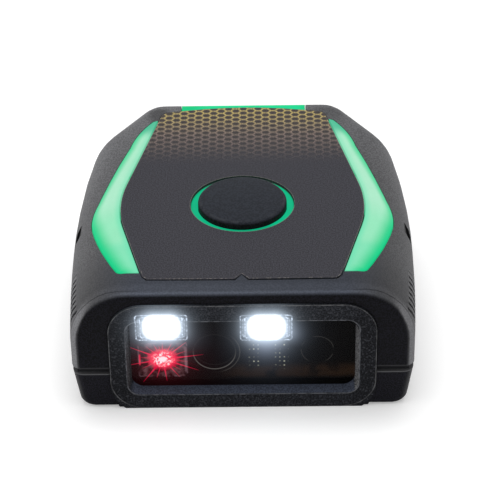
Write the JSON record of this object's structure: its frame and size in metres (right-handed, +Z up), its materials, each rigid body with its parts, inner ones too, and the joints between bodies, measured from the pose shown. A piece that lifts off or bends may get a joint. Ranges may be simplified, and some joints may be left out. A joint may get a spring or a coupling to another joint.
{
  "type": "wearable barcode scanner",
  "caption": "Small hand-worn barcode scanner: moulded two-part housing, rubber-framed scan window with camera, lights and aimer, lit side guides and a round push trigger on top.",
  "frame": {"origin": "on the surface that the dock foot stands on, below the middle of the housing", "axes": "+Z up, out of the trigger; -Y forward, out of the scan window; +X to the right in the front view"},
  "size_m": [0.0506, 0.0529, 0.0209],
  "materials": {
    "housing": "fine spark-eroded grain, dark grey",
    "lower_housing": "fine grain, near black",
    "black_rubber": "matt",
    "bezel_rubber": "coarse grain, matt",
    "grey_rubber": "matt",
    "window": "clear, lightly tinted",
    "label_film": "printed film with a honeycomb fading in at the rear",
    "lit_guide": "frosted, lit green from below",
    "lit_ring": "frosted, lit green from below",
    "trigger_cap": "smooth satin, blue-black",
    "spring_steel": "plain",
    "white_plastic": "plain",
    "black_plastic": "satin",
    "circuit_board": "solder mask",
    "tinned_steel": "drawn can",
    "green_led": "lit",
    "flex_film": "polyimide film",
    "battery_pouch": "laminated pouch",
    "foam": "adhesive foam",
    "gold_contact": "gold plated",
    "dark_glass": "coated",
    "sensor": "cover glass",
    "clear_lens": "clear moulded",
    "white_led": "lit",
    "red_led": "lit",
    "brown_glass": "coated",
    "screw_steel": "blackened"
  },
  "bodies": {
    "scanner": {"upper_housing": "housing", "lower_housing": "lower_housing", "housing_gasket": "black_rubber", "window_bezel": "bezel_rubber", "scan_window": "window", "window_gasket": "black_rubber", "top_label": "label_film", "left_light_guide": "lit_guide", "right_light_guide": "lit_guide", "rear_light_guide": "lit_guide", "trigger_light_ring": "lit_ring", "button_seal": "grey_rubber", "trigger_switch": "black_plastic", "main_board": "circuit_board", "radio_shield": "tinned_steel", "status_leds": "green_led", "buzzer": "black_plastic", "vibration_motor": "spring_steel", "flex_cable": "flex_film", "battery": "battery_pouch", "battery_pad": "foam", "contact_holder": "black_plastic", "charging_contacts": "gold_contact", "engine_chassis": "black_plastic", "engine_board": "circuit_board", "engine_bracket": "black_plastic", "lens_barrel": "black_plastic", "camera_lens": "dark_glass", "image_sensor": "sensor", "left_light_lens": "clear_lens", "right_light_lens": "clear_lens", "lower_light_lens": "clear_lens", "aimer_lens": "clear_lens", "white_leds": "white_led", "aimer_led": "red_led", "side_optic": "black_plastic", "side_lens": "brown_glass", "housing_screws": "screw_steel", "board_screws": "screw_steel", "engine_screws": "screw_steel"},
    "trigger": {"trigger_button": "trigger_cap", "button_clip": "spring_steel", "switch_plunger": "white_plastic"}
  },
  "joints": [
    {"name": "trigger_press", "type": "slide", "parent": "scanner", "child": "trigger", "axis": [0, 0, 1], "range_m": [-0.0006, 0], "stiffness_N_per_m": 2500, "springref_m": 0.0004}
  ]
}
